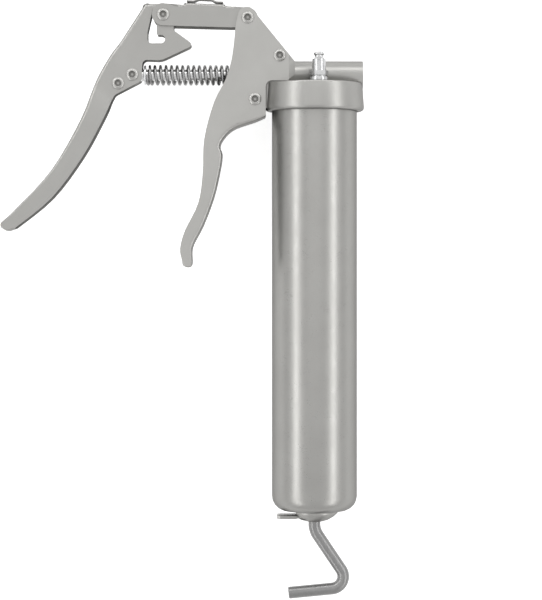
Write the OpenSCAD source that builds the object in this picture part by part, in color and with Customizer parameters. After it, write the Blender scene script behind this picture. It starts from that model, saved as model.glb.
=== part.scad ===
// Hand lever grease gun, lying on its side.
// The origin is at the centre of the outlet's mouth. X runs along the pump to the outlet,
// Y runs along the barrel towards the head, and Z points up from the side it lies on.

/* [Barrel] */
// Outside diameter of the barrel tube
barrel_d = 57; // [54:0.5:60]
// Wall of the barrel tube
barrel_wall = 1.2; // [0.8:0.1:1.6]
// Length of the barrel from its rim to its closed end
barrel_len = 280; // [240:1:320]
// Radius of the corner round the barrel's closed end
barrel_corner_r = 10; // [7:0.5:12]
// Radius of the lock cup where it meets the barrel's end
cup_r = 15.5; // [14.5:0.1:17]
// Height of the lock cup
cup_h = 7.2; // [7:0.1:9]
// Sheet thickness of the lock cup
cup_wall = 1; // [0.8:0.1:1.2]

/* [Head] */
// Distance from the barrel's axis to the outlet's mouth
outlet_reach = 32.4; // [31:0.1:36]
// Outside diameter of the pump cylinder
pump_d = 18.8; // [17.5:0.1:19]
// Distance from the barrel's axis to the inlet end of the pump cylinder
pump_back = 46; // [44:0.5:47]
// Radius of the outlet's thread bore
outlet_r = 4.5; // [4.2:0.1:5]
// Depth of the outlet's thread bore
outlet_depth = 11; // [10:0.5:12]
// Outside diameter of the collar at its lower edge
collar_d = 66.8; // [64:0.2:70]
// How much the collar narrows in radius towards its top
collar_draft = 1.2; // [0.4:0.1:2]
// Length of the collar along the barrel
collar_len = 18.8; // [16:0.2:24]
// Distance from the pump's axis down to the collar's top face
collar_drop = 5.5; // [5:0.1:7]
// Thickness of the head's floor above the barrel
head_floor = 4; // [3:0.1:5]
// Thickness of the barrel gasket
gasket_t = 2; // [1:0.1:3]
// Radial width of the barrel gasket
gasket_w = 4; // [3:0.1:5]

/* [Pump] */
// Diameter of the plunger
plunger_d = 8; // [7:0.1:8.6]
// Travel of the plunger over a full squeeze
stroke = 23.2; // [20:0.1:23.6]
// Radius of the plunger's eye
eye_r = 6; // [5:0.1:6.4]
// Radius of the check ball
ball_r = 3; // [2.6:0.1:3.1]
// Outside diameter of the return spring
spring_d = 13.8; // [12.8:0.1:14.4]
// Wire diameter of the return spring
spring_wire = 1.6; // [1.2:0.1:1.7]
// Turns of the return spring
spring_turns = 17; // [14:1:18]

/* [Linkage] */
// Distance from the barrel's axis back to the link pivot
pivot_back = 44.6; // [43:0.1:46]
// Height of the link pivot above the pump's axis
pivot_h = 37.7; // [36:0.1:40]
// Length of the link between its two rivets
link_len = 56.45; // [55:0.05:58]
// Angle at which the link rises towards the lever
link_tilt = 2.3; // [1:0.1:4]
// Length of the lever's short arm between its two main rivets
arm_len = 45; // [43.5:0.1:46]
// Diameter of the rivets' shanks
rivet_d = 5.5; // [4.5:0.1:6]
// Diameter of the rivets' heads
rivet_head_d = 8.4; // [7.6:0.1:9]
// Height of the rivets' heads
rivet_head_h = 1.4; // [1:0.1:1.8]
// Sheet thickness of the link
link_wall = 1.5; // [1.2:0.1:1.6]
// Height of the link's cheeks
link_h = 15; // [14:0.1:16]
// Play of the rivet in the lever's shift slot, up and down
slot_play = 1.25; // [1.2:0.05:1.4]

/* [Handles] */
// Depth of the bracket across its cheeks
bracket_w = 23; // [21:0.1:25]
// Sheet thickness of the bracket and the lever
sheet_t = 1.8; // [1.5:0.1:1.8]
// Radius of the corners at the lever's and the handle's tips
tip_r = 2.6; // [2:0.1:3]

/* [Follower] */
// Diameter of the follower rod
rod_d = 8; // [7:0.1:8.4]
// Bend radius of the rod where its handle begins
crank_bend_r = 14; // [12:0.5:18]
// Angle between the rod and the slanting run of its handle
crank_angle = 34; // [20:1:45]
// Length of the slanting run of the handle
crank_run = 27.7; // [22:0.1:34]
// Bend radius between the slanting run and the grip of the handle
rod_bend_r = 8.2; // [7:0.1:12]
// Length of the handle's straight grip
handle_run = 29.4; // [24:0.1:36]
// Width of the lock lever's tab
tab_w = 17; // [14:0.5:18]
// Thickness of the lock lever
tab_t = 2; // [1.6:0.1:2.2]
// Reach of the lock lever's tab from the barrel's axis
tab_reach = 25.2; // [23:0.1:27]
// Wire diameter of the follower spring
follower_wire = 2; // [1.6:0.1:2.4]
// Turns of the follower spring
follower_turns = 14; // [10:1:15]

/* [Nipple] */
// Distance of the nipple's axis from the pump's axis, towards the front
nipple_off = 18; // [16.5:0.1:18.5]
// Distance of the nipple's axis from the barrel's axis, towards the outlet
nipple_side = 2.7; // [0:0.1:5]
// Diameter of the nipple's stem
nipple_d = 9; // [8:0.1:10]
// Length of the nipple's stem above its hexagon
nipple_len = 12.7; // [10:0.1:15]
// Width across the corners of the nipple's hexagon
nipple_hex_d = 12.4; // [11:0.1:13]

/* [Hidden] */
// Smoothness of round faces
$fn = 64;
// Clearance of a pin or a shaft that turns or slides in its bore
running = 0.05;
// Clearance of a piece that stays where it is fitted
seated = 0.02;

// Play on each side between the cheeks of the bracket, the link, the lever and the plunger's eye
side_play = 0.2;

barrel_r = barrel_d / 2;
barrel_bore_r = barrel_r - barrel_wall;
rod_r = rod_d / 2;
plunger_r = plunger_d / 2;
pump_r = pump_d / 2;
collar_r = collar_d / 2;
rivet_r = rivet_d / 2;
link_w = bracket_w - 2 * (sheet_t + side_play);
lever_w = link_w - 2 * (link_wall + side_play);
eye_w = lever_w - 2 * (sheet_t + side_play);

// Heights along the barrel
collar_top = -collar_drop;
collar_end = collar_top - collar_len;
head_ceiling = collar_top - head_floor;
barrel_rim = head_ceiling - gasket_t;
barrel_end = barrel_rim - barrel_len;
cup_end = barrel_end - cup_h;

// Rivets of the linkage, from the barrel's and the pump's axes
pivot = [-pivot_back, pivot_h];
slot_pin = pivot + link_len * [-cos(link_tilt), sin(link_tilt)];
plunger_pin = [slot_pin[0] - sqrt(arm_len * arm_len - slot_pin[1] * slot_pin[1]), 0];
spacer_pin = plunger_pin + [-9.4, -5.8];
upper_rivet = [-23.3, 12.5];
lower_rivet = [-39.7, -16.6];

// Places along the pump
plunger_tip = 10.2 - stroke;
pump_bore_end = 10.6;
passage_r = 2;
ball_seat_x = 12.4;
ball_x = ball_seat_x + sqrt(ball_r * ball_r - passage_r * passage_r) + 0.3;
chamber_r = ball_r + 0.6;
thread_end_x = outlet_reach - outlet_depth;
retainer_t = 1.6;
retainer_x = thread_end_x - retainer_t;
retainer_r = outlet_r - 0.4;
gland_thread_r = 6;
gland_thread_len = 8;
gland_head_r = 7.6;
gland_head_t = 5;
seal_t = 4;
spring_seat_x = plunger_pin[0] + 7.8;
spring_seat_t = 1.2;
spring_start = spring_seat_x + spring_seat_t;
spring_end = -pump_back - gland_head_t;

// Places of the follower, counted down from the barrel's rim
nut_top = barrel_rim - 2;
nut_h = 4;
washer_t = 1.5;
washer_top = nut_top - nut_h - 0.1;
seal_floor = washer_top - washer_t;
seal_floor_t = 2;
plate_top = seal_floor - seal_floor_t;
plate_t = 1.5;
plate_skirt = 8;
crank_drop = 1.7;
follower_top = plate_top - plate_t;
follower_r = barrel_bore_r - barrel_corner_r + barrel_wall - follower_wire / 2 - 0.2;

// Places of the lock lever inside its cup
tab_top = barrel_end - 2.9;
tab_inner_w = 12;
tab_pivot_x = 6;

// Points of an open chain of corners [x, y, radius], each rounded by its own radius
function unit(v) = v / norm(v);
function xy(p) = [p[0], p[1]];
function cross2(a, b) = a[0] * b[1] - a[1] * b[0];
function fillet(a, b, c, r, steps = 5) =
    let (u = unit(xy(a) - xy(b)), v = unit(xy(c) - xy(b)))
    let (half = acos(u * v) / 2, centre = xy(b) + unit(u + v) * r / sin(half))
    let (start = xy(b) + u * r / tan(half) - centre, turn = (180 - 2 * half) * sign(cross2(v, u)))
    [for (k = [0:steps]) let (t = turn * k / steps)
        centre + [start[0] * cos(t) - start[1] * sin(t), start[0] * sin(t) + start[1] * cos(t)]];
function rounded(p) = [
    for (i = [0:len(p) - 1])
        each (i == 0 || i == len(p) - 1 ? [xy(p[i])] : fillet(p[i - 1], p[i], p[i + 1], p[i][2]))
];

// Points of a smooth curve through a few key points
function through(a, b, c, d, t) =
    0.5 * (2 * b + (c - a) * t + (2 * a - 5 * b + 4 * c - d) * t * t
        + (3 * b - a - 3 * c + d) * t * t * t);
function curve(k, steps = 4) = [
    for (i = [0:len(k) - 2]) for (s = [0:steps - 1])
        through(k[max(i - 1, 0)], k[i], k[i + 1], k[min(i + 2, len(k) - 1)], s / steps),
    k[len(k) - 1]
];

// Inward direction at each point of a closed outline that runs anticlockwise
function inward(p, i) =
    let (n = len(p), a = xy(p[(i + n - 1) % n]), b = xy(p[i]), c = xy(p[(i + 1) % n]))
    let (u = unit(b - a), v = unit(c - b), m = [-u[1] - v[1], u[0] + v[0]])
    m / max(1 + u * v, 0.4);

// A point of the outline moved in by the sheet's thickness
function set_in(p, i) = xy(p[i]) + inward(p, i) * sheet_t;

// A pressed sheet part: its outline at full width, hollowed between its two cheeks
module pressed(outline, width, hollow, wall = sheet_t) {
    difference() {
        translate([0, 0, -width / 2]) linear_extrude(width) polygon(outline);
        translate([0, 0, -width / 2 + wall]) linear_extrude(width - 2 * wall) polygon(hollow);
    }
}

// Round wire along a helix on the X axis, from x = 0 to x = length, with closed end turns
function coil_x(turn, turns, length, wire) =
    let (closed = wire * 1.05, active = (length - wire - 2 * closed) / (turns - 2))
    wire / 2 + (turn < 1 ? turn * closed
        : turn > turns - 1 ? length - wire - (turns - turn) * closed
        : closed + (turn - 1) * active);
module coil(r, wire, turns, length, around = 14, sides = 6) {
    steps = round(turns * around);
    points = [
        for (s = [0:steps]) let (turn = turns * s / steps, a = 360 * turn)
            for (k = [0:sides - 1]) let (b = 360 * (k + 0.5) / sides, rr = r + wire / 2 * cos(b))
                [coil_x(turn, turns, length, wire) + wire / 2 * sin(b), rr * cos(a), rr * sin(a)]
    ];
    walls = [
        for (s = [0:steps - 1]) for (k = [0:sides - 1])
            let (a = s * sides + k, b = s * sides + (k + 1) % sides)
            each [[a, b, b + sides], [a, b + sides, a + sides]]
    ];
    last = steps * sides;
    ends = [[for (k = [sides - 1:-1:0]) k], [for (k = [0:sides - 1]) last + k]];
    polyhedron(points, concat(walls, ends));
}

// Everything is laid out from the barrel's axis, then set back from the outlet's mouth
module set_back() {
    translate([-outlet_reach, 0, 0]) children();
}

// A turned profile [radius, height] about the barrel's axis
module turned(profile) {
    rotate([-90, 0, 0]) rotate_extrude() polygon(profile);
}

// A cylinder along the pump from one place to another
module along_pump(from, to, r) {
    translate([from, 0, 0]) rotate([0, 90, 0]) cylinder(r = r, h = to - from);
}

// A cylinder through the cheeks at a rivet's place
module across(at, r, width) {
    translate([at[0], at[1], -width / 2]) cylinder(r = r, h = width);
}

module head_casting() {
    rim_r = 1;
    foot_r = 2.5;
    top_r = collar_r - collar_draft;
    collar_profile = concat(
        [[0, collar_top]],
        rounded([[top_r - 4, collar_top], [top_r, collar_top, rim_r],
            [collar_r, collar_end, foot_r], [barrel_r + 1, collar_end]]),
        [[barrel_r + 0.1, collar_end + 0.9], [barrel_r + 0.1, head_ceiling], [0, head_ceiling]]
    );
    lug = rounded([
        [-13.2, 0], [-13.2, 8.6, 0.5], [-24.9, 23, 3], [-40, 16, 6], [-pump_back, 6, 3],
        [-pump_back, -9, 3], [-pump_back + 0.4, -22.6, 5], [-31, collar_end + 2, 1], [-28, -12]
    ]);
    ceiling_cut = head_ceiling + 1;
    color([0.69, 0.69, 0.68]) set_back() difference() {
        union() {
            turned(collar_profile);
            along_pump(-pump_back, outlet_reach, pump_r);
            translate([0, 0, -bracket_w / 2 + sheet_t])
                linear_extrude(bracket_w - 2 * sheet_t) difference() {
                    polygon(lug);
                    translate([-barrel_r - 0.1, ceiling_cut - 30]) square([barrel_r + 10, 30]);
                }
        }
        along_pump(-pump_back - 1, pump_bore_end, plunger_r + running);
        along_pump(-pump_back - 1, -pump_back + gland_thread_len + seal_t, gland_thread_r + seated);
        along_pump(pump_bore_end - 1, ball_seat_x + 1, passage_r);
        along_pump(ball_seat_x, retainer_x + 1, chamber_r);
        along_pump(retainer_x, thread_end_x + 1, retainer_r + seated);
        along_pump(thread_end_x, outlet_reach + 1, outlet_r);
        translate([plunger_tip + 2.6, head_ceiling - 1, 0]) rotate([-90, 0, 0])
            cylinder(r = 2, h = -head_ceiling + 1);
        translate([nipple_side, head_ceiling - 1, nipple_off]) rotate([-90, 0, 0])
            cylinder(r = nipple_thread_r + seated, h = head_floor + 2);
        across(upper_rivet, rivet_r + seated, bracket_w);
        across(lower_rivet, rivet_r + seated, bracket_w);
    }
}

module barrel_gasket() {
    outer = barrel_r + 0.05;
    color([0.12, 0.12, 0.12]) set_back()
        turned([[outer - gasket_w, barrel_rim], [outer, barrel_rim],
            [outer, head_ceiling], [outer - gasket_w, head_ceiling]]);
}

module plunger_gland() {
    color([0.75, 0.75, 0.74]) set_back() difference() {
        union() {
            along_pump(spring_end, -pump_back, gland_head_r);
            along_pump(-pump_back - 1, -pump_back + gland_thread_len, gland_thread_r);
        }
        along_pump(spring_end - 1, -pump_back + gland_thread_len + 1, plunger_r + running);
    }
}

module plunger_seal() {
    start = -pump_back + gland_thread_len;
    color([0.15, 0.15, 0.15]) set_back() difference() {
        along_pump(start, start + seal_t, gland_thread_r);
        along_pump(start - 1, start + seal_t + 1, plunger_r + running);
    }
}

module outlet_ball() {
    color([0.8, 0.8, 0.82]) set_back() translate([ball_x, 0, 0]) sphere(r = ball_r);
}

module outlet_spring() {
    start = ball_x + ball_r * 0.75;
    color([0.6, 0.6, 0.62]) set_back() translate([start, 0, 0])
        coil(2.35, 0.5, 4, retainer_x - start, 10, 4);
}

module outlet_retainer() {
    color([0.7, 0.7, 0.68]) set_back() difference() {
        along_pump(retainer_x, thread_end_x, retainer_r);
        along_pump(retainer_x - 1, thread_end_x + 1, passage_r);
    }
}

// Heights of the nipple above the head
nipple_thread_r = 4;
nipple_washer_t = 3;
nipple_hex_h = 3;
nipple_seat = collar_top + nipple_washer_t;
nipple_stem = nipple_seat + 1 + nipple_hex_h;
nipple_end = nipple_stem + nipple_len;
nipple_bore_r = 1.4;
nipple_ball_r = 1.2;
nipple_mouth_r = 0.9;
nipple_lip = 0.6;

module at_nipple(height) {
    translate([nipple_side, height, nipple_off]) rotate([-90, 0, 0]) children();
}

module nipple_body() {
    neck_r = nipple_d / 2 - 1.6;
    slot_w = 2;
    color([0.8, 0.8, 0.8]) set_back() difference() {
        union() {
            at_nipple(head_ceiling) cylinder(r = nipple_thread_r, h = nipple_seat - head_ceiling + 1);
            at_nipple(nipple_seat) cylinder(r = nipple_d / 2 + 0.4, h = 1.2);
            at_nipple(nipple_seat + 1) cylinder(d = nipple_hex_d, h = nipple_hex_h, $fn = 6);
            at_nipple(nipple_stem - 0.5) cylinder(r = nipple_d / 2, h = nipple_len - 4.5);
            at_nipple(nipple_stem) rotate_extrude() polygon([
                [0, 0], [nipple_d / 2 - 0.6, 0], [nipple_d / 2 - 0.6, nipple_len - 5],
                [neck_r, nipple_len - 3.6], [neck_r, nipple_len - 2.6], [neck_r + 0.7, nipple_len - 1.8],
                [neck_r + 0.7, nipple_len - 1], [neck_r - 0.4, nipple_len], [0, nipple_len]
            ]);
        }
        at_nipple(head_ceiling - 1)
            cylinder(r = nipple_bore_r, h = nipple_end - nipple_lip - head_ceiling + 1);
        at_nipple(nipple_end - nipple_lip - 1) cylinder(r = nipple_mouth_r, h = nipple_lip + 2);
        translate([nipple_side - slot_w / 2, nipple_stem + 1, nipple_off + nipple_d / 2 - 1.2])
            cube([slot_w, nipple_len - 6.5, 4]);
    }
}

module nipple_washer() {
    color([0.72, 0.72, 0.72]) set_back() difference() {
        at_nipple(collar_top) cylinder(r = nipple_hex_d / 2 - 0.2, h = nipple_washer_t);
        at_nipple(collar_top - 1) cylinder(r = nipple_thread_r + seated, h = nipple_washer_t + 2);
    }
}

module nipple_ball() {
    ball_depth = sqrt(nipple_ball_r * nipple_ball_r - nipple_mouth_r * nipple_mouth_r) + 0.15;
    color([0.85, 0.85, 0.85]) set_back()
        translate([nipple_side, nipple_end - nipple_lip - ball_depth, nipple_off])
            sphere(r = nipple_ball_r);
}

// Hollow riveted pin with a ringed head on each side of the cheeks
module rivet(at, width) {
    head_r = rivet_head_d / 2;
    half = width / 2;
    hollow_r = 2;
    profile = [
        [hollow_r, half - 0.4], [hollow_r, half + rivet_head_h - 0.5],
        [hollow_r + 0.5, half + rivet_head_h], [head_r - 1, half + rivet_head_h * 0.85],
        [head_r - 0.2, half + rivet_head_h * 0.45], [head_r, half], [rivet_r, half]
    ];
    closed = concat([[0, half - 0.4]], profile,
        [for (i = [len(profile) - 1:-1:0]) [profile[i][0], -profile[i][1]]], [[0, 0.4 - half]]);
    translate([at[0], at[1], 0]) rotate_extrude() polygon(closed);
}

module upper_bracket_rivet() {
    color([0.72, 0.72, 0.71]) set_back() rivet(upper_rivet, bracket_w);
}

module lower_bracket_rivet() {
    color([0.72, 0.72, 0.71]) set_back() rivet(lower_rivet, bracket_w);
}

module link_pivot_rivet() {
    color([0.72, 0.72, 0.71]) set_back() rivet(pivot, bracket_w);
}

module slot_pin_rivet() {
    color([0.72, 0.72, 0.71]) set_back() rivet(slot_pin, link_w);
}

module plunger_pin_rivet() {
    color([0.72, 0.72, 0.71]) set_back() rivet(plunger_pin, lever_w);
}

module lever_spacer_rivet() {
    color([0.72, 0.72, 0.71]) set_back() rivet(spacer_pin, lever_w);
}

module fixed_handle() {
    right_x = -17.1;
    shelf_y = collar_top + 1.2;
    cheek_x = -collar_r + collar_draft - 0.4;
    flange_y = collar_end - 3.8;
    web_side = curve([
        [-81.7, -124], [-81.3, -114.7], [-74.3, -101], [-67, -81.6], [-62.6, -62.3],
        [-61.6, -53], [-63, -46.8], [-55, -37], [-39.6, -31.2], [cheek_x, flange_y]
    ]);
    bracket = rounded([
        [cheek_x, flange_y + 3], [cheek_x, shelf_y, 4], [right_x, shelf_y, 1.5],
        [right_x, 13.2, 3], [pivot[0] + 2, pivot[1] + 6.9, 3.5], [pivot[0] - 5.2, pivot[1] + 6.9, 5],
        [pivot[0] - 7.8, pivot[1] - 3.7]
    ]);
    open_side = curve([
        [pivot[0] - 8, pivot[1] - 5], [-54.9, 11.8], [-59.1, -3.2], [-67, -18.8],
        [-73.5, -43], [-74.5, -65.5], [-77.5, -85.7], [-86.4, -104.2], [-89.6, -116], [-88.6, -123]
    ]);
    tip = rounded([[-88.5, -123.4], [-87.8, -127.6, tip_r], [-82, -130, tip_r], [-81.7, -124.4]]);
    outline = concat(bracket, open_side, tip, web_side);
    inset = [for (i = [len(bracket) + len(open_side):len(outline) - 1]) set_in(outline, i)];
    channel = concat(inset, [[20, flange_y + 3], [20, 60], [-120, 60], [-120, -122.5]]);
    color([0.68, 0.68, 0.67]) set_back() difference() {
        pressed(outline, bracket_w, channel);
        for (at = [upper_rivet, lower_rivet, pivot]) across(at, rivet_r + seated, bracket_w + 2);
    }
}

// The link's top edge, which steps up under the hanger strap
strap_from = -85.5;
strap_to = -61;
strap_rise = 1.2;
function link_top(x) =
    pivot[1] + (slot_pin[1] - pivot[1]) * (pivot[0] - x) / (pivot[0] - slot_pin[0]) + link_h / 2 - 0.4;

module link_channel() {
    end_r = link_h / 2;
    web_gap = 10;
    web_from = slot_pin[0] + web_gap;
    web_to = pivot[0] - web_gap;
    rest_y = link_top(strap_from) + strap_rise;
    top_edge = rounded([
        [web_to, link_top(web_to)], [strap_to + 2, link_top(strap_to), 2],
        [strap_to, link_top(strap_to) + strap_rise, 1.5], [strap_from, rest_y, 1.5],
        [strap_from - 2, link_top(strap_from), 2], [web_from, link_top(web_from)]
    ]);
    left_end = [for (a = [90:15:270]) slot_pin + end_r * [cos(a), sin(a)]];
    right_end = [for (a = [-90:15:90]) pivot + (end_r - 0.8) * [cos(a), sin(a)]];
    outline = concat(top_edge, left_end, right_end);
    top = pivot[1] + 20;
    channel = concat(
        [for (p = top_edge) p + [0, -link_wall]],
        [[web_from, top], [slot_pin[0] - 20, top], [slot_pin[0] - 20, 0],
            [pivot[0] + 20, 0], [pivot[0] + 20, top], [web_to, top]]
    );
    color([0.68, 0.68, 0.67]) set_back() difference() {
        pressed(outline, link_w, channel, link_wall);
        across(slot_pin, rivet_r + seated, link_w + 2);
        across(pivot, rivet_r + running, link_w + 2);
    }
}

module hanger_strap() {
    strap_t = 1;
    strap_w = 10;
    arch_h = 8;
    foot = 6;
    base = link_top(strap_from) + strap_rise;
    upper = rounded([
        [strap_from, base + strap_t], [strap_from + foot, base + strap_t, 1],
        [strap_from + foot + 2, base + arch_h, 4], [strap_to - foot - 2, base + arch_h, 4],
        [strap_to - foot, base + strap_t, 1], [strap_to, base + strap_t]
    ]);
    lower = rounded([
        [strap_to, base], [strap_to - foot - strap_t, base, 0.8],
        [strap_to - foot - 2.8, base + arch_h - strap_t, 3],
        [strap_from + foot + 2.8, base + arch_h - strap_t, 3],
        [strap_from + foot + strap_t, base, 0.8], [strap_from, base]
    ]);
    color([0.6, 0.6, 0.6]) set_back() translate([0, 0, -strap_w / 2])
        linear_extrude(strap_w) polygon(concat(upper, lower));
}

// The shift slot: a pocket with an upper seat and a lower seat for the link's rivet
module shift_slot() {
    seat_r = rivet_r + slot_play;
    low_r = rivet_r + 0.05;
    low = [-1.5, -16.4];
    finger_x = -4.3;
    upper_seat = [for (a = [-90:15:90]) seat_r * [cos(a), sin(a)]];
    pocket = rounded([
        upper_seat[len(upper_seat) - 1], [-6.9, seat_r, 1.5], [-10.5, -12, 6],
        [-10.5, low[1] - low_r, 3], low + [0, -low_r]
    ]);
    lower_seat = [for (a = [-75:15:75]) low + low_r * [cos(a), sin(a)]];
    finger = rounded([
        low + [0, low_r], [finger_x, low[1] + low_r, 0.9], [finger_x, -seat_r, 1.1], upper_seat[0]
    ]);
    translate(slot_pin) polygon(concat(
        pocket, lower_seat, [for (i = [0:len(finger) - 2]) finger[i]],
        [for (i = [0:len(upper_seat) - 2]) upper_seat[i]]
    ));
}

module moving_lever() {
    pin = plunger_pin;
    top_left = slot_pin + [-12.2, 7.2];
    back = concat(
        rounded([top_left + [8, 0], concat(top_left, tip_r), top_left + [-16.5, -25.6]]),
        curve([pin + [-14, 14], pin + [-23.8, -3.3], pin + [-34.2, -29.7], pin + [-53.6, -63.5],
            pin + [-76.6, -88.8], pin + [-86.6, -98.2]])
    );
    tip = rounded([
        pin + [-86.9, -98.5], concat(pin + [-89.4, -100.8], tip_r),
        concat(pin + [-83.5, -104.6], tip_r), pin + [-79.2, -103]
    ]);
    front = curve([
        pin + [-78.2, -102.6], pin + [-53.6, -82.4], pin + [-33, -54.9], pin + [-19.2, -29.7],
        pin + [-14.4, -19]
    ]);
    hook = rounded([
        pin + [-13.8, -17.6], concat(pin + [-11.6, -13.6], 4), concat(pin + [6, -4.4], 3),
        concat(pin + [7, 9.8], 3), concat(pin + [19.5, 9.4], 12), concat(pin + [41.2, 19.6], 2),
        concat(slot_pin + [7, -10.5], 1.5), concat(slot_pin + [7, 7], 5.5), slot_pin + [-3, 7.2]
    ]);
    outline = concat(back, tip, front, hook);
    inset = [for (i = [0:len(back) + len(tip) - 1]) set_in(outline, i)];
    channel = concat(inset, [pin + [-60, -120], pin + [60, -60], pin + [80, 60], slot_pin + [-11, 30]]);
    color([0.68, 0.68, 0.67]) set_back() difference() {
        pressed(outline, lever_w, channel);
        translate([0, 0, -lever_w / 2 - 1]) linear_extrude(lever_w + 2) shift_slot();
        across(pin, rivet_r + seated, lever_w + 2);
        across(spacer_pin, rivet_r + seated, lever_w + 2);
    }
}

module plunger() {
    color([0.8, 0.8, 0.8]) set_back() difference() {
        union() {
            along_pump(plunger_pin[0], plunger_tip, plunger_r);
            across(plunger_pin, eye_r, eye_w);
        }
        across(plunger_pin, rivet_r + running, eye_w + 2);
    }
}

module spring_seat() {
    color([0.7, 0.7, 0.7]) set_back() difference() {
        along_pump(spring_seat_x, spring_start, spring_d / 2 - 0.3);
        along_pump(spring_seat_x - 1, spring_start + 1, plunger_r + seated);
    }
}

module return_spring() {
    color([0.75, 0.75, 0.75]) set_back() translate([spring_start, 0, 0])
        coil((spring_d - spring_wire) / 2, spring_wire, spring_turns, spring_end - spring_start);
}

module barrel_tube() {
    inner_corner = barrel_corner_r - barrel_wall;
    outer = rounded([[barrel_r, barrel_rim], [barrel_r, barrel_end, barrel_corner_r], [0, barrel_end]]);
    inner = rounded([[0, barrel_end + barrel_wall],
        [barrel_bore_r, barrel_end + barrel_wall, inner_corner], [barrel_bore_r, barrel_rim]]);
    color([0.69, 0.69, 0.68]) set_back() difference() {
        turned(concat(outer, inner));
        translate([0, barrel_end - 1, 0]) rotate([-90, 0, 0])
            cylinder(r = rod_r + running, h = barrel_wall + 2);
    }
}

module lock_cup() {
    outer = [[cup_r, barrel_end], [cup_r, barrel_end - 1.6], [cup_r - 2.6, barrel_end - 4],
        [cup_r - 6.2, barrel_end - 6.1], [cup_r - 10, cup_end], [rod_r + 0.3, cup_end]];
    inner = [[rod_r + 0.3, cup_end + cup_wall], [cup_r - 10.4, cup_end + cup_wall],
        [cup_r - 6.8, barrel_end - 5], [cup_r - 3.4, barrel_end - 3.1],
        [cup_r - cup_wall, barrel_end - 1.2], [cup_r - cup_wall, barrel_end]];
    color([0.66, 0.66, 0.65]) set_back() difference() {
        turned(concat(outer, inner));
        translate([-cup_r - 1, tab_top - tab_t - 0.6, -tab_w / 2 - 0.5])
            cube([cup_r - 3, barrel_end - 0.4 - tab_top + tab_t + 0.6, tab_w + 1]);
    }
}

module lock_lever() {
    neck_x = -8;
    tab_end_r = 3;
    roll_r = tab_t / 2 - 0.05;
    color([0.5, 0.5, 0.5]) set_back() difference() {
        union() {
            across([tab_pivot_x, tab_top - tab_t / 2], roll_r, tab_inner_w);
            translate([0, tab_top - tab_t, 0]) rotate([-90, 0, 0]) linear_extrude(tab_t) union() {
                translate([neck_x - 1, -tab_inner_w / 2]) square([tab_pivot_x - neck_x + 1, tab_inner_w]);
                translate([-tab_reach, -tab_w / 2 + tab_end_r])
                    square([tab_reach + neck_x - 4, tab_w - 2 * tab_end_r]);
                translate([-tab_reach + tab_end_r, -tab_w / 2])
                    square([tab_reach + neck_x - 4 - tab_end_r, tab_w]);
                for (side = [-1, 1]) translate([-tab_reach + tab_end_r, side * (tab_w / 2 - tab_end_r)])
                    circle(r = tab_end_r);
                translate([neck_x - 5, -tab_inner_w / 2]) square([5, tab_inner_w]);
            }
        }
        translate([0, tab_top - tab_t - 1, 0]) rotate([-90, 0, 0])
            cylinder(r = rod_r + 0.35, h = tab_t + 2);
    }
}

module lock_spring() {
    color([0.6, 0.6, 0.6]) set_back() translate([0, tab_top, 0]) rotate([0, 0, 90])
        coil(5, 0.6, 3, barrel_end - tab_top, 12, 4);
}

// Stations [x, y, heading] along a bend that starts at a station and turns by an angle
function bend_path(from, r, turn, steps) =
    let (side = sign(turn), h = from[2], centre = xy(from) + side * r * [-sin(h), cos(h)])
    [for (k = [1:steps]) let (g = h + turn * k / steps)
        concat(centre + side * r * [sin(g), -cos(g)], g)];
function run_on(from, length) = concat(xy(from) + length * [cos(from[2]), sin(from[2])], from[2]);

// Round bar swept along stations, closed by a flat face at each end
module bar(path, r, sides = 20) {
    points = [
        for (p = path) for (k = [0:sides - 1]) let (b = 360 * k / sides)
            [p[0] - r * cos(b) * sin(p[2]), p[1] + r * cos(b) * cos(p[2]), r * sin(b)]
    ];
    walls = [
        for (s = [0:len(path) - 2]) for (k = [0:sides - 1])
            let (a = s * sides + k, b = s * sides + (k + 1) % sides)
            each [[a, b + sides, b], [a, a + sides, b + sides]]
    ];
    last = (len(path) - 1) * sides;
    ends = [[for (k = [0:sides - 1]) k], [for (k = [sides - 1:-1:0]) last + k]];
    polyhedron(points, concat(walls, ends));
}

module follower_rod() {
    shoulder = follower_top - 0.1;
    shoulder_h = 2;
    bend_start = cup_end - crank_drop;
    sunk = 1;
    start = [0, bend_start, -90];
    first = bend_path(start, crank_bend_r, crank_angle, 5);
    slant_end = run_on(first[4], crank_run);
    second = bend_path(slant_end, rod_bend_r, -crank_angle - 84.5, 12);
    path = concat([[0, bend_start + sunk, -90], start], first, [slant_end], second,
        [run_on(second[11], handle_run)]);
    color([0.7, 0.7, 0.69]) set_back() {
        translate([0, bend_start, 0]) rotate([-90, 0, 0]) cylinder(r = rod_r, h = nut_top - bend_start);
        translate([0, shoulder - shoulder_h, 0]) rotate([-90, 0, 0])
            cylinder(r = rod_r + 2, h = shoulder_h);
        bar(path, rod_r - 0.03);
    }
}

module rod_nut() {
    color([0.7, 0.7, 0.68]) set_back() difference() {
        translate([0, nut_top - nut_h, 0]) rotate([-90, 0, 0]) cylinder(r = 7.5, h = nut_h, $fn = 6);
        translate([0, nut_top - nut_h - 1, 0]) rotate([-90, 0, 0])
            cylinder(r = rod_r + seated, h = nut_h + 2);
    }
}

module piston_washer() {
    color([0.65, 0.65, 0.65]) set_back()
        turned([[rod_r + running, seal_floor], [18, seal_floor],
            [18, washer_top], [rod_r + running, washer_top]]);
}

module cup_seal() {
    lip_r = barrel_bore_r - 0.1;
    lip_top = nut_top;
    color([0.1, 0.1, 0.1]) set_back()
        turned([[rod_r + running, plate_top], [lip_r - 1.5, plate_top], [lip_r, plate_top + 2],
            [lip_r, lip_top], [lip_r - 1, lip_top], [lip_r - 2.4, seal_floor + 1],
            [lip_r - 3, seal_floor], [rod_r + running, seal_floor]]);
}

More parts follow.
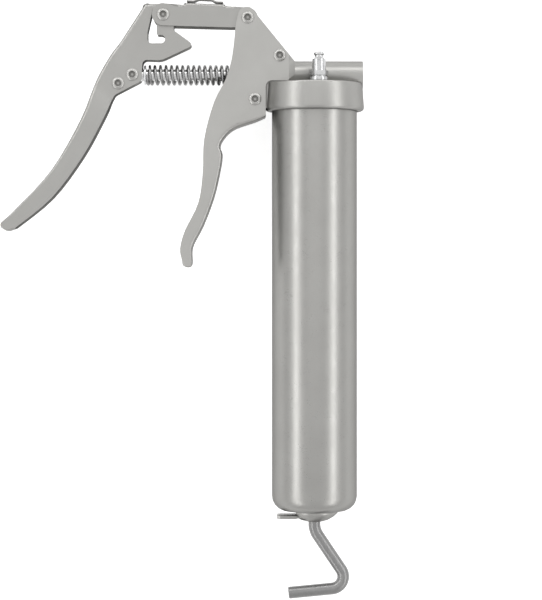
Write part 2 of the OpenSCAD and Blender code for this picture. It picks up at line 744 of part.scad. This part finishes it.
module piston_plate() {
    skirt_r = barrel_bore_r - 0.8;
    color([0.65, 0.65, 0.65]) set_back()
        turned([[rod_r + running, plate_top], [skirt_r - 1.5, plate_top], [skirt_r, plate_top - 1.5],
            [skirt_r, plate_top - plate_skirt], [skirt_r - plate_t, plate_top - plate_skirt],
            [skirt_r - plate_t, plate_top - plate_t], [rod_r + running, plate_top - plate_t]]);
}

module follower_spring() {
    floor_y = barrel_end + barrel_wall;
    color([0.6, 0.6, 0.6]) set_back() translate([0, floor_y, 0]) rotate([0, 0, 90])
        coil(follower_r, follower_wire, follower_turns, follower_top - floor_y, 18);
}

head_casting();
barrel_gasket();
plunger_gland();
plunger_seal();
outlet_ball();
outlet_spring();
outlet_retainer();
nipple_body();
nipple_washer();
nipple_ball();
fixed_handle();
upper_bracket_rivet();
lower_bracket_rivet();
link_pivot_rivet();
link_channel();
slot_pin_rivet();
hanger_strap();
moving_lever();
plunger_pin_rivet();
lever_spacer_rivet();
plunger();
spring_seat();
return_spring();
barrel_tube();
lock_cup();
lock_lever();
lock_spring();
follower_rod();
rod_nut();
piston_washer();
cup_seal();
piston_plate();
follower_spring();
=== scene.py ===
import math

import bpy
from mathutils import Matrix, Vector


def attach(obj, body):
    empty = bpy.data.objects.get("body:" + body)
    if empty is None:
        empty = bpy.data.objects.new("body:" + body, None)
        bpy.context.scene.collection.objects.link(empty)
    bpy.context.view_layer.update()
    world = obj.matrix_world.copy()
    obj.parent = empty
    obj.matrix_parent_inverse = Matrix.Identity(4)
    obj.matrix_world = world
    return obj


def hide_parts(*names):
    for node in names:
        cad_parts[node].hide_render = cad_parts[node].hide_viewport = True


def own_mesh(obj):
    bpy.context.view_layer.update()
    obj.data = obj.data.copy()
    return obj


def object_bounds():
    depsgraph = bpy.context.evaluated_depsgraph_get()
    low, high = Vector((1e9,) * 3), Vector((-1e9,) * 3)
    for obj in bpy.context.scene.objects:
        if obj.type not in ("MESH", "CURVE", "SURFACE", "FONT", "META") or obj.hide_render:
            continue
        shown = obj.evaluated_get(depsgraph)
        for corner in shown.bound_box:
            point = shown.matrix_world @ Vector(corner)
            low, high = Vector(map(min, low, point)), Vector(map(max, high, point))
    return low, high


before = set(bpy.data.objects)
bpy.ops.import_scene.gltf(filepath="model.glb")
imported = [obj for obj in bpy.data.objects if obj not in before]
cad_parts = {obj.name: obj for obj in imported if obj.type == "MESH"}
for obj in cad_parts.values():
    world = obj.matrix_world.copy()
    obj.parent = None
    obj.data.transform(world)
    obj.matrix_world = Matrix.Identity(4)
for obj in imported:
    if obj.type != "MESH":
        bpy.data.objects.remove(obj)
cad_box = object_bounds()

# Camera, lamps and floor. The gun lies on its side on a pale floor and is seen from
# straight above, as in a product photograph, between two long strip lamps.
scene = bpy.context.scene
scene.view_settings.view_transform = "Standard"
bpy.ops.object.select_all(action="DESELECT")

bpy.ops.object.camera_add(location=(-0.0615, -0.1251, 1.47), rotation=(0, 0, 0))
camera = bpy.context.object
camera.name = "photo_camera"
camera.data.lens = 131.6
camera.data.sensor_width = 36
camera.data.shift_y = -0.0633
camera.data.clip_end = 20
scene.camera = camera

floor_level = min(corner[2] for corner in cad_box)
bpy.ops.mesh.primitive_plane_add(size=8, location=(-0.06, -0.12, floor_level))
floor = bpy.context.object
floor.name = "floor"


def strip_lamp(name, place, turn, size, watts):
    """A long soft lamp hung above the floor and turned towards the gun"""
    bpy.ops.object.light_add(type="AREA", location=place, rotation=[math.radians(t) for t in turn])
    lamp = bpy.context.object
    lamp.name = name
    lamp.data.shape = "RECTANGLE"
    lamp.data.size, lamp.data.size_y = size
    lamp.data.energy = watts
    lamp.visible_camera = False


strip_lamp("left_strip", (-0.93, -0.15, 0.72), (0, -51.2, 0), (0.26, 2.6), 7.6)
strip_lamp("right_strip", (0.87, -0.15, 0.72), (0, 51.4, 0), (0.26, 2.6), 7.6)
strip_lamp("far_strip", (-0.06, 1.05, 0.78), (-53, 0, 0), (2.2, 0.5), 9)
strip_lamp("overhead", (-0.06, 0.35, 2.2), (0, 0, 0), (1.6, 1.8), 4)


class Flow:
    """A number, colour or vector that runs through a material's nodes"""

    def __init__(self, tree, socket=None):
        self.tree = tree
        self.socket = socket

    def node(self, kind, settings=None, values=None, out=0):
        """Adds any node, sets it, feeds its inputs by name or number, and gives one output"""
        made = self.tree.nodes.new(kind)
        for name, setting in (settings or {}).items():
            setattr(made, name, setting)
        for name, value in (values or {}).items():
            if isinstance(value, Flow):
                self.tree.links.new(value.socket, made.inputs[name])
            else:
                made.inputs[name].default_value = value
        return Flow(self.tree, made.outputs[out])

    def maths(self, operation, first, second):
        return self.node("ShaderNodeMath", {"operation": operation}, {0: first, 1: second})

    def __add__(self, other):
        return self.maths("ADD", self, other)

    __radd__ = __add__

    def __sub__(self, other):
        return self.maths("SUBTRACT", self, other)

    def __rsub__(self, other):
        return self.maths("SUBTRACT", other, self)

    def __mul__(self, other):
        return self.maths("MULTIPLY", self, other)

    __rmul__ = __mul__

    def __lt__(self, other):
        return self.maths("LESS_THAN", self, other)

    def clamp(self, low, high):
        return self.maths("MINIMUM", self.maths("MAXIMUM", self, low), high)

    def colours(self, first, second):
        """Runs from one colour to another as this number goes from 0 to 1"""
        ends = [(*end, 1) if isinstance(end, tuple) else end for end in (first, second)]
        return self.node(
            "ShaderNodeMix", {"data_type": "RGBA"}, {0: self, 6: ends[0], 7: ends[1]}, out=2
        )

    def noise(self, scale, detail, roughness):
        values = {"Vector": self, "Scale": scale, "Detail": detail, "Roughness": roughness}
        return self.node("ShaderNodeTexNoise", values=values)

    def stretched(self, scale, centre=(0, 0, 0)):
        """Shifts a pattern to a centre, then stretches it by a scale on each axis"""
        moved = self.node("ShaderNodeVectorMath", {"operation": "SUBTRACT"}, {0: self, 1: centre})
        return self.node("ShaderNodeVectorMath", {"operation": "MULTIPLY"}, {0: moved, 1: scale})

    def bump(self, height, distance, strength):
        values = {"Height": height, "Distance": distance, "Strength": strength}
        return self.node("ShaderNodeBump", values=values)


def new_material(name):
    """A new material, its shader's inputs, and the place on the object as a flow"""
    material = bpy.data.materials.new(name)
    material.use_nodes = True
    place = Flow(material.node_tree).node("ShaderNodeTexCoord", out=3)
    return material, material.node_tree.nodes["Principled BSDF"].inputs, place


def feed(inputs, **values):
    """Links or sets the shader's sockets, each named by its words joined with underscores"""
    for name, value in values.items():
        socket = inputs[name.replace("_", " ")]
        if isinstance(value, Flow):
            value.tree.links.new(value.socket, socket)
        else:
            socket.default_value = value


def looked_at(start):
    """1 where a camera, glossy or transmission ray meets the surface, and 0 elsewhere"""
    camera_ray = start.node("ShaderNodeLightPath", out=0)
    outputs = camera_ray.socket.node.outputs
    glossy_ray = Flow(start.tree, outputs["Is Glossy Ray"])
    passing_ray = Flow(start.tree, outputs["Is Transmission Ray"])
    return (camera_ray + glossy_ray + passing_ray).clamp(0.0, 1.0)


floor_grey = 0.72
floor_glow = 0.8
floor_paint, _, floor_place = new_material("pale_floor")
matt = floor_place.node("ShaderNodeBsdfDiffuse", values={"Color": (floor_grey,) * 3 + (1,)})
glow = floor_place.node(
    "ShaderNodeEmission",
    values={"Color": (1, 1, 1, 1), "Strength": looked_at(floor_place) * floor_glow},
)
both = floor_place.node("ShaderNodeAddShader", values={0: matt, 1: glow})
floor_out = floor_paint.node_tree.nodes["Material Output"]
floor_paint.node_tree.links.new(both.socket, floor_out.inputs["Surface"])
floor.data.materials.append(floor_paint)

world_light = 0.3
world = bpy.data.worlds.new("studio")
world.use_nodes = True
scene.world = world
sky_strength = looked_at(Flow(world.node_tree)) * (1 - world_light) + world_light
background = world.node_tree.nodes["Background"]
background.inputs["Color"].default_value = (1, 1, 1, 1)
world.node_tree.links.new(sky_strength.socket, background.inputs["Strength"])

# Barrel: a drawn steel tube with a rounded closed end, sprayed with silver metallic lacquer.
# It screws into the head's collar. The lacquer has fine flake and a faint cloudiness.
barrel_x = -0.0324


def silver_lacquer(name, tone, flake=0.06, grain=0.000012, metallic=0.8, roughness=0.38):
    """Satin silver-grey metallic paint: fine flake, faint clouding and orange peel"""
    material, sockets, place = new_material(name)
    clouds = place.noise(38.0, 3.0, 0.55)
    flakes = place.noise(2600.0, 1.0, 0.6)
    peel = place.noise(1100.0, 2.0, 0.5)
    dust = place.noise(140.0, 4.0, 0.6)
    light = (0.50 * tone, 0.495 * tone, 0.478 * tone)
    dark = (0.395 * tone, 0.39 * tone, 0.374 * tone)
    speckle = ((flakes - 0.5) * (flake * 6.0) + 0.5 + (clouds - 0.5) * 0.7).clamp(0.0, 1.0)
    feed(
        sockets,
        Base_Color=speckle.colours(dark, light),
        Metallic=metallic,
        Roughness=((flakes - 0.5) * 0.25 + (dust - 0.5) * 0.16 + roughness).clamp(0.15, 0.8),
        Normal=place.bump(peel + flakes * 0.4, grain, 0.8),
        IOR=1.34,
        Specular_Tint=(0.4, 0.4, 0.4, 1),
    )
    return material


def own_copy(node, name, body, material, edge, smooth=32):
    """A piece made from a CAD node: merged, flat faces joined, edges softened and smoothed"""
    bpy.ops.object.select_all(action="DESELECT")
    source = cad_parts[node]
    piece = bpy.data.objects.new(name, source.data.copy())
    scene.collection.objects.link(piece)
    piece.data.materials.clear()
    piece.data.materials.append(material)
    bpy.context.view_layer.objects.active = piece
    piece.select_set(True)
    bpy.ops.object.mode_set(mode="EDIT")
    bpy.ops.mesh.select_all(action="SELECT")
    bpy.ops.mesh.remove_doubles(threshold=0.000003)
    bpy.ops.mesh.customdata_custom_splitnormals_clear()
    bpy.ops.mesh.dissolve_limited(angle_limit=math.radians(0.6))
    bpy.ops.object.mode_set(mode="OBJECT")
    if edge:
        soften = piece.modifiers.new("soft_edges", "BEVEL")
        soften.width = edge
        soften.segments = 2
        soften.limit_method = "ANGLE"
        soften.angle_limit = math.radians(38)
        soften.use_clamp_overlap = True
        soften.miter_outer = "MITER_ARC"
        bpy.ops.object.modifier_apply(modifier="soft_edges")
    bpy.ops.object.shade_smooth_by_angle(angle=math.radians(smooth))
    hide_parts(node)
    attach(piece, body)
    return piece


tube_lacquer = silver_lacquer(
    "tube_lacquer", 0.705, flake=0.05, grain=0.000008, metallic=0.85, roughness=0.335
)
own_copy("barrel_tube", "barrel", "barrel", tube_lacquer, edge=0)

# Head: a casting with the collar, the cross pump cylinder, the outlet boss and the rivet lug.
# It is shot-blasted and painted, so its skin is a little coarser than the tube's.
casting_lacquer = silver_lacquer("casting_lacquer", 0.75, grain=0.00003)
own_copy("head_casting", "head", "head", casting_lacquer, edge=0.0004)


# Nipple: a turned and bright zinc-plated vent and filler nipple, with a hexagon, on a washer.
# It is screwed through the head's floor.
def bright_zinc(name, tone, roughness, metallic=1.0):
    """Bright zinc plate on turned steel, with tool marks, faint blue haze and small stains"""
    material, sockets, place = new_material(name)
    haze = place.noise(190.0, 3.0, 0.6)
    marks = place.stretched((300.0, 9000.0, 300.0)).noise(1.0, 2.0, 0.6)
    dark = (tone * 0.84, tone * 0.85, tone * 0.87)
    light = (tone * 1.1, tone * 1.1, tone * 1.09)
    shade = ((haze - 0.5) * 0.9 + (marks - 0.5) * 0.5 + 0.5).clamp(0.0, 1.0)
    feed(
        sockets,
        Base_Color=shade.colours(dark, light),
        Metallic=metallic,
        Roughness=((haze - 0.5) * 0.22 + (marks - 0.5) * 0.2 + roughness).clamp(0.08, 0.6),
        Normal=place.bump(marks, 0.00001, 0.7),
    )
    return material


nipple_zinc = bright_zinc("nipple_zinc", 0.49, 0.27, metallic=0.92)
own_copy("nipple_body", "nipple", "head", nipple_zinc, edge=0.00015)
own_copy("nipple_washer", "nipple_nut", "head", nipple_zinc, edge=0.0003)


# Fixed handle: one channel pressed from steel sheet, its cheeks riveted to the head's lug and
# its front edge folded over, where the palm pulls. Painted with the same silver lacquer.
press_lacquer = silver_lacquer("press_lacquer", 0.795, grain=0.000014, roughness=0.37)


def folded_copy(node, name, body, paint, level, on_fold, fold):
    """A pressed sheet part: its folds get the press's bend radius, its cut edges a small one"""
    piece = own_copy(node, name, body, paint, edge=0)
    mesh = piece.data
    walls = {}
    for face in mesh.polygons:
        if abs(face.normal.z) < 0.5:
            for key in face.edge_keys:
                walls[key] = face.normal.copy()
    weights = mesh.attributes.new("bevel_weight_edge", "FLOAT", "EDGE")
    for edge in mesh.edges:
        one, two = (mesh.vertices[v].co for v in edge.vertices)
        on_face = abs(abs(one.z) - level) < 0.00002 and abs(abs(two.z) - level) < 0.00002
        if on_face and edge.key in walls:
            weights.data[edge.index].value = on_fold((one + two) / 2, walls[edge.key])
    bpy.ops.object.select_all(action="DESELECT")
    bpy.context.view_layer.objects.active = piece
    piece.select_set(True)
    bend = piece.modifiers.new("press_bend", "BEVEL")
    bend.width = fold
    bend.segments = 6
    bend.limit_method = "WEIGHT"
    bend.use_clamp_overlap = False
    bpy.ops.object.modifier_apply(modifier="press_bend")
    beside = {}
    for face in mesh.polygons:
        for key in face.edge_keys:
            beside.setdefault(key, []).append((face.area, face.normal.copy(), face.center.copy()))
    weights = mesh.attributes["bevel_weight_edge"]
    for edge in mesh.edges:
        weights.data[edge.index].value = 0.0
        sides = sorted(beside.get(edge.key, ()), key=lambda side: side[0])
        if len(sides) == 2:
            (_, turned, near), (_, flat, far) = sides
            outer_edge = (near - far).dot(flat) < 0
            sharp = turned.angle(flat, 0.0) > math.radians(50)
            weights.data[edge.index].value = float(outer_edge and sharp)
    soften = piece.modifiers.new("sheet_edges", "BEVEL")
    soften.width = 0.0003
    soften.segments = 2
    soften.limit_method = "WEIGHT"
    bpy.ops.object.modifier_apply(modifier="sheet_edges")
    bpy.ops.object.shade_smooth_by_angle(angle=math.radians(35))
    return piece


def handle_fold(middle, normal):
    """The handle's front edge and tip are folded, its back edge is cut"""
    bracket_end, tip = -0.026, -0.1235
    if middle.y > bracket_end or (normal.x < 0.2 and middle.y > tip):
        return 0.0
    towards_tip = min(max((middle.y + 0.128) / 0.014, 0.35), 1.0)
    towards_bracket = min((-0.022 - middle.y) / 0.012, 1.0)
    return towards_tip * towards_bracket


folded_copy(
    "fixed_handle", "handle", "head", press_lacquer,
    level=0.0115, on_fold=handle_fold, fold=0.0022,
)


# Link: a short pressed channel between the two main rivets, folded along its top, with a
# small bent strap on it to hang the gun by. Painted with a darker copy of the pressings' lacquer:
# painted shade.
def link_fold(middle, normal):
    """The link's top edge is folded between its round ends"""
    return float(normal.y > 0.5 and -0.124 < middle.x < -0.0865 and middle.y > 0.04)


# Painted shade: the link's lacquer is toned darker than the pressings'.
link_shaded_lacquer = silver_lacquer("link_shaded_lacquer", 0.7, roughness=0.37)
folded_copy(
    "link_channel", "link", "link", link_shaded_lacquer,
    level=0.0095, on_fold=link_fold, fold=0.0016,
)

strap_x = -0.10565
strap_arch = 0.0016
strap_slope = 0.04
bpy.ops.object.select_all(action="DESELECT")
bpy.ops.mesh.primitive_plane_add(size=1, location=(strap_x, 0.04895, 0))
hanger = bpy.context.object
hanger.name = "hanger"
hanger.scale = (0.0245, 0.010, 1)
hanger.rotation_euler = (math.radians(90), 0, 0)
bpy.ops.object.transform_apply(location=True, rotation=True, scale=True)
bpy.ops.object.mode_set(mode="EDIT")
bpy.ops.mesh.select_all(action="SELECT")
bpy.ops.mesh.subdivide(number_cuts=23)
bpy.ops.object.mode_set(mode="OBJECT")
for vertex in hanger.data.vertices:
    along = vertex.co.x - strap_x
    rise = min(max((0.0078 - abs(along)) / 0.0040, 0.0), 1.0)
    vertex.co.y += strap_arch * rise * rise * (3 - 2 * rise) - strap_slope * along
strap_wall = hanger.modifiers.new("strap_wall", "SOLIDIFY")
strap_wall.thickness = 0.001
strap_wall.offset = 0
bpy.ops.object.modifier_apply(modifier="strap_wall")
strap_edges = hanger.modifiers.new("strap_edges", "BEVEL")
strap_edges.width = 0.0002
strap_edges.segments = 2
strap_edges.limit_method = "ANGLE"
bpy.ops.object.modifier_apply(modifier="strap_edges")
bpy.ops.object.shade_smooth_by_angle(angle=math.radians(35))
hanger.data.materials.append(link_shaded_lacquer)
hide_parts("hanger_strap")
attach(hanger, "link")


# Moving lever: one pressed channel with the shift slot that takes the link's rivet. Its back
# edge is folded over and its grip widens below the two rivets, where the fingers pull.
plunger_pin = (-0.15409, 0.0)
spacer_pin = (-0.16349, -0.0058)


def lever_fold(middle, normal):
    """The lever's back edge, top corner and tip are folded, its front edge and slot are cut"""
    in_slot = abs(middle.x + 0.1366) < 0.0125 and 0.0185 < middle.y < 0.0442
    in_hole = min(math.dist(middle.xy, pin) for pin in (plunger_pin, spacer_pin)) < 0.0035
    if in_slot or in_hole:
        return 0.0
    top_corner = normal.y > 0.7 and middle.x < -0.1375 and middle.y > 0.045
    if normal.x < -0.3 or top_corner:
        return min(max((middle.y + 0.128) / 0.098, 0.3), 1.0)
    tip = middle.x < -0.2335 and middle.y < -0.0995
    return 0.3 if tip else 0.0


# Painted shade: the lever's lacquer is toned darker than the pressings', where the side lamp lights
# it more.
lever_shaded_lacquer = silver_lacquer("lever_shaded_lacquer", 0.715, roughness=0.37)
lever = folded_copy(
    "moving_lever", "lever", "lever", lever_shaded_lacquer,
    level=0.0078, on_fold=lever_fold, fold=0.0022,
)
grip_x, grip_y = -0.1700, -0.0100
grip_way = (0.62, 0.785)
flare = 0.36
flare_length = 0.015
bpy.ops.object.mode_set(mode="EDIT")
for step in range(15):
    bpy.ops.mesh.select_all(action="SELECT")
    cut = (grip_x - 0.0022 * step, grip_y - 0.0028 * step, 0)
    bpy.ops.mesh.bisect(plane_co=cut, plane_no=(*grip_way, 0))
bpy.ops.object.mode_set(mode="OBJECT")
for vertex in lever.data.vertices:
    down = -(vertex.co.x - grip_x) * grip_way[0] - (vertex.co.y - grip_y) * grip_way[1]
    ramp = min(max(down / flare_length, 0.0), 1.0)
    vertex.co.z *= 1 + flare * ramp * ramp * (3 - 2 * ramp)
lever.data.update()
bpy.ops.object.shade_smooth_by_angle(angle=math.radians(35))


# Rivets: hollow steel rivets with a ringed head on each side, painted over with the levers.
# Each stays in the cheeks that carry it.
def rivet_paint(name, centre):
    """Silver lacquer with painted shade in the hollow in the middle of the head and a painted
    highlight, broken up by noise, on the rim
    """
    material, sockets, place = new_material(name)
    flat = place.stretched((1, 1, 0), (centre[0], centre[1], 0))
    reach = flat.node("ShaderNodeVectorMath", {"operation": "LENGTH"}, {0: flat}, out=1)
    flakes = place.noise(2600.0, 1.0, 0.6)
    wear_and_glint = place.noise(700.0, 3.0, 0.6)
    # Painted shade: the hollow in the middle of the head is coloured dark, its core darker still.
    hollow = reach < 0.0021
    core = reach < 0.0008
    # Painted highlight: the paint lightens towards the head's outer rim, broken up by noise.
    rim = ((reach - 0.0034) * 1400.0 + (wear_and_glint - 0.5) * 1.6).clamp(0.0, 1.0)
    speckle = ((flakes - 0.5) * 0.5 + 0.5).clamp(0.0, 1.0)
    paint = speckle.colours((0.32, 0.316, 0.304), (0.4, 0.396, 0.382))
    rim_highlighted = (rim * 0.25).colours(paint, (0.5, 0.495, 0.48))
    feed(
        sockets,
        Base_Color=(hollow * 0.8 - core * 0.55).colours(rim_highlighted, (0.10, 0.098, 0.092)),
        Metallic=0.8,
        Roughness=((flakes - 0.5) * 0.2 + (wear_and_glint - 0.5) * 0.15 + 0.36).clamp(0.15, 0.8),
        Normal=place.bump(flakes, 0.000014, 0.8),
    )
    return material


for node, name, body, centre in (
    ("upper_bracket_rivet", "upper_rivet", "head", (-0.0557, 0.0125)),
    ("lower_bracket_rivet", "lower_rivet", "head", (-0.0721, -0.0166)),
    ("link_pivot_rivet", "link_rivet", "head", (-0.077, 0.0377)),
    ("slot_pin_rivet", "slot_rivet", "link", (-0.13340, 0.03997)),
    ("plunger_pin_rivet", "plunger_rivet", "lever", plunger_pin),
    ("lever_spacer_rivet", "spacer_rivet", "lever", spacer_pin),
):
    own_copy(node, name, body, rivet_paint(name + "_paint", centre), edge=0.00012)


# Plunger and its spring: a ground steel plunger pinned in the lever, pushed back by a zinc
# plated compression spring with closed ends between the gland nut and a seat washer.
def drawn_steel(name, tone, roughness, marks_scale, metallic=1.0, mark_depth=0.00001):
    """Drawn or ground bright steel with fine marks along it and a little grease haze"""
    material, sockets, place = new_material(name)
    marks = place.stretched(marks_scale).noise(1.0, 3.0, 0.65)
    haze = place.noise(240.0, 3.0, 0.6)
    dark = (tone * 0.8, tone * 0.8, tone * 0.81)
    light = (tone * 1.12, tone * 1.11, tone * 1.09)
    shade = ((marks - 0.5) * 0.9 + (haze - 0.5) * 0.8 + 0.5).clamp(0.0, 1.0)
    feed(
        sockets,
        Base_Color=shade.colours(dark, light),
        Metallic=metallic,
        Roughness=((haze - 0.5) * 0.25 + (marks - 0.5) * 0.2 + roughness).clamp(0.1, 0.7),
        Normal=place.bump(marks, mark_depth, 0.7),
    )
    return material


plunger_steel = drawn_steel("plunger_steel", 0.6, 0.24, (9000.0, 300.0, 300.0))
own_copy("plunger", "plunger_rod", "plunger", plunger_steel, edge=0.0003)
seat_zinc = bright_zinc("seat_zinc", 0.62, 0.28)
own_copy("spring_seat", "spring_seat_washer", "plunger", seat_zinc, edge=0.0002)
own_copy("plunger_gland", "gland_nut", "head", seat_zinc, edge=0.0003)


def wound_spring(name, coil_r, wire, turns, start, length, around, sides):
    """A wire wound along +X, its first and last turns closed up against the next"""
    bpy.ops.object.select_all(action="DESELECT")
    upright = (math.radians(90), 0, 0)
    bpy.ops.mesh.primitive_circle_add(vertices=sides, radius=wire / 2, rotation=upright)
    spring = bpy.context.object
    spring.name = name
    bpy.ops.object.transform_apply(location=True, rotation=True, scale=True)
    bpy.ops.object.mode_set(mode="EDIT")
    bpy.ops.mesh.select_all(action="SELECT")
    bpy.ops.transform.translate(value=(0, 0, coil_r))
    bpy.ops.object.mode_set(mode="OBJECT")
    winding = spring.modifiers.new("winding", "SCREW")
    winding.axis = "X"
    winding.angle = math.radians(360) * turns
    winding.screw_offset = 0.0
    winding.steps = around * turns
    winding.render_steps = around * turns
    bpy.ops.object.modifier_apply(modifier="winding")
    closed = wire * 1.05
    pitch = (length - wire - 2 * closed) / (turns - 2)
    for vertex in spring.data.vertices:
        turn = (vertex.index // sides) / around
        if turn < 1:
            run = turn * closed
        elif turn > turns - 1:
            run = length - wire - (turns - turn) * closed
        else:
            run = closed + (turn - 1) * pitch
        vertex.co.x += start + wire / 2 + run
    bpy.ops.object.mode_set(mode="EDIT")
    bpy.ops.mesh.select_all(action="SELECT")
    bpy.ops.mesh.fill_holes(sides=0)
    bpy.ops.mesh.select_all(action="SELECT")
    bpy.ops.mesh.normals_make_consistent(inside=False)
    bpy.ops.object.mode_set(mode="OBJECT")
    bpy.ops.object.shade_smooth_by_angle(angle=math.radians(50))
    return spring


spring_wire_zinc = drawn_steel(
    "spring_wire_zinc", 0.26, 0.3, (1800.0, 1800.0, 1800.0), metallic=0.9, mark_depth=0.000008
)
spring = wound_spring(
    "pump_spring", coil_r=0.0060, wire=0.0019, turns=17, start=-0.14509, length=0.0617,
    around=40, sides=14,
)
spring.data.materials.append(spring_wire_zinc)
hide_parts("return_spring")
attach(spring, "head")
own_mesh(spring)

# Outlet: a check ball on its seat, a light spring behind it and a screwed-in retainer, deep
# in the threaded mouth. The nipple has a small ball too. All are bright or zinc plated.
ball_steel = drawn_steel("ball_steel", 0.7, 0.12, (300.0, 300.0, 300.0), mark_depth=0.000003)
own_copy("outlet_ball", "check_ball", "outlet_ball", ball_steel, edge=0, smooth=60)
retainer_zinc = bright_zinc("retainer_zinc", 0.6, 0.3)
own_copy("outlet_retainer", "check_retainer", "head", retainer_zinc, edge=0.0001)
check_spring = own_copy(
    "outlet_spring", "check_spring", "head", spring_wire_zinc, edge=0, smooth=60
)
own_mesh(check_spring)
own_copy(
    "nipple_ball", "nipple_check_ball", "nipple_ball", ball_steel, edge=0, smooth=60
)

# Lock cup: a small domed cup of pressed sheet, welded on the barrel's end and painted with it.
# The rod runs through it, and the lock lever sits inside it under a light spring.
cup_lacquer = silver_lacquer("cup_lacquer", 0.78, flake=0.05)
own_copy("lock_cup", "lock_cup_shell", "barrel", cup_lacquer, edge=0.0003)


def bare_steel(name):
    """Stamped steel plate with an oily dark face, brighter where the thumb rubs its end"""
    material, sockets, place = new_material(name)
    rolled = place.stretched((500.0, 500.0, 60.0)).noise(1.0, 3.0, 0.6)
    oil = place.noise(160.0, 3.0, 0.6)
    along = place.node("ShaderNodeSeparateXYZ", values={0: place}, out=0)
    thumb_x = -0.0560
    rubbed = ((thumb_x - along) * 900.0 + (oil - 0.5) * 1.4 + 0.4).clamp(0.0, 1.0)
    blotches = ((rolled - 0.5) * 0.8 + (oil - 0.5) * 0.9 + 0.5).clamp(0.0, 1.0)
    face = blotches.colours((0.21, 0.207, 0.201), (0.375, 0.372, 0.36))
    feed(
        sockets,
        Base_Color=(rubbed * 0.7).colours(face, (0.5, 0.495, 0.48)),
        Metallic=0.8,
        Roughness=((oil - 0.5) * 0.3 + (rolled - 0.5) * 0.15 + 0.4).clamp(0.15, 0.8),
        Normal=place.bump(rolled, 0.00001, 0.7),
    )
    return material


own_copy("lock_lever", "rod_lock", "lock_lever", bare_steel("lock_steel"), edge=0.0003)
lock_wire = own_copy(
    "lock_spring", "lock_wire", "barrel", spring_wire_zinc, edge=0, smooth=60
)
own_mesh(lock_wire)

# Follower rod: an 8 mm plated steel bar with a collar under the piston. Its outer end is bent
# twice into a handle, and its tip is cropped and chamfered.
rod_zinc = drawn_steel(
    "rod_zinc", 0.23, 0.36, (2200.0, 90.0, 2200.0), metallic=0.9, mark_depth=0.000012
)
rod_r = 0.004
bend_y = -0.3004
first_turn, first_r = 34, 0.014
slant = 0.0277
second_turn, second_r = 118.5, 0.0082
grip = 0.0294
chamfer, chamfer_shrink = 0.0006, 0.87
bpy.ops.object.select_all(action="DESELECT")
bpy.ops.mesh.primitive_circle_add(
    vertices=48,
    radius=rod_r,
    fill_type="NGON",
    location=(barrel_x, -0.0135, 0),
    rotation=(math.radians(90), 0, 0),
)
rod = bpy.context.object
rod.name = "pull_rod"
bpy.ops.object.transform_apply(location=True, rotation=True, scale=True)
bpy.ops.object.mode_set(mode="EDIT")
bpy.ops.mesh.select_all(action="SELECT")
for drop, widen in ((0.0092, 1.0), (0.0, 1.5), (0.002, 1.0), (0.0, 1 / 1.5), (0.2757, 1.0)):
    bpy.ops.mesh.extrude_region_move(TRANSFORM_OT_translate={"value": (0, -drop, 0)})
    if widen != 1.0:
        bpy.ops.transform.resize(value=(widen, 1, widen), center_override=(barrel_x, 0, 0))
bpy.ops.mesh.spin(
    steps=14,
    angle=math.radians(-first_turn),
    center=(barrel_x + first_r, bend_y, 0),
    axis=(0, 0, 1),
)
heading = math.radians(first_turn - 90)
across, down = math.cos(heading), math.sin(heading)
bpy.ops.mesh.extrude_region_move(TRANSFORM_OT_translate={"value": (slant * across, slant * down, 0)})
corner_x = barrel_x + first_r + first_r * down + slant * across
corner_y = bend_y - first_r * across + slant * down
bpy.ops.mesh.spin(
    steps=26,
    angle=math.radians(second_turn),
    center=(corner_x + second_r * down, corner_y - second_r * across, 0),
    axis=(0, 0, 1),
)
turned = heading - math.radians(second_turn)
tip_x = corner_x + second_r * (down - math.sin(turned)) + grip * math.cos(turned)
tip_y = corner_y - second_r * (across - math.cos(turned)) + grip * math.sin(turned)
for run in (grip - chamfer, chamfer):
    bpy.ops.mesh.extrude_region_move(
        TRANSFORM_OT_translate={"value": (run * math.cos(turned), run * math.sin(turned), 0)}
    )
bpy.ops.transform.resize(value=(chamfer_shrink,) * 3, center_override=(tip_x, tip_y, 0))
bpy.ops.mesh.select_all(action="SELECT")
bpy.ops.mesh.remove_doubles(threshold=0.000002)
bpy.ops.mesh.normals_make_consistent(inside=False)
bpy.ops.object.mode_set(mode="OBJECT")
bpy.ops.object.shade_smooth_by_angle(angle=math.radians(30))
rod.data.materials.append(rod_zinc)
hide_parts("follower_rod")
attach(rod, "rod")


# Follower: a rubber cup seal between a zinc-plated washer and plate, held on the rod by a
# nut and pushed by a long spring inside the barrel. These stay inside and are seldom seen.
def oiled_rubber(name):
    """Black nitrile rubber with a greasy sheen and moulding marks"""
    material, sockets, place = new_material(name)
    grease = place.noise(120.0, 3.0, 0.6)
    grain = place.noise(3500.0, 2.0, 0.6)
    feed(
        sockets,
        Base_Color=grease.colours((0.02, 0.02, 0.02), (0.05, 0.049, 0.046)),
        Roughness=((grease - 0.5) * 0.5 + 0.5).clamp(0.2, 0.8),
        Normal=place.bump(grain, 0.00002, 0.8),
    )
    return material


rubber = oiled_rubber("nitrile_rubber")
follower_zinc = bright_zinc("follower_zinc", 0.6, 0.3)
for node, material in (
    ("barrel_gasket", rubber),
    ("plunger_seal", rubber),
    ("cup_seal", rubber),
    ("piston_washer", follower_zinc),
    ("piston_plate", follower_zinc),
    ("rod_nut", follower_zinc),
):
    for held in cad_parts[node].material_slots:
        held.material = material

follower_wire = own_copy(
    "follower_spring", "long_spring", "barrel", spring_wire_zinc, edge=0, smooth=60
)
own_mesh(follower_wire)
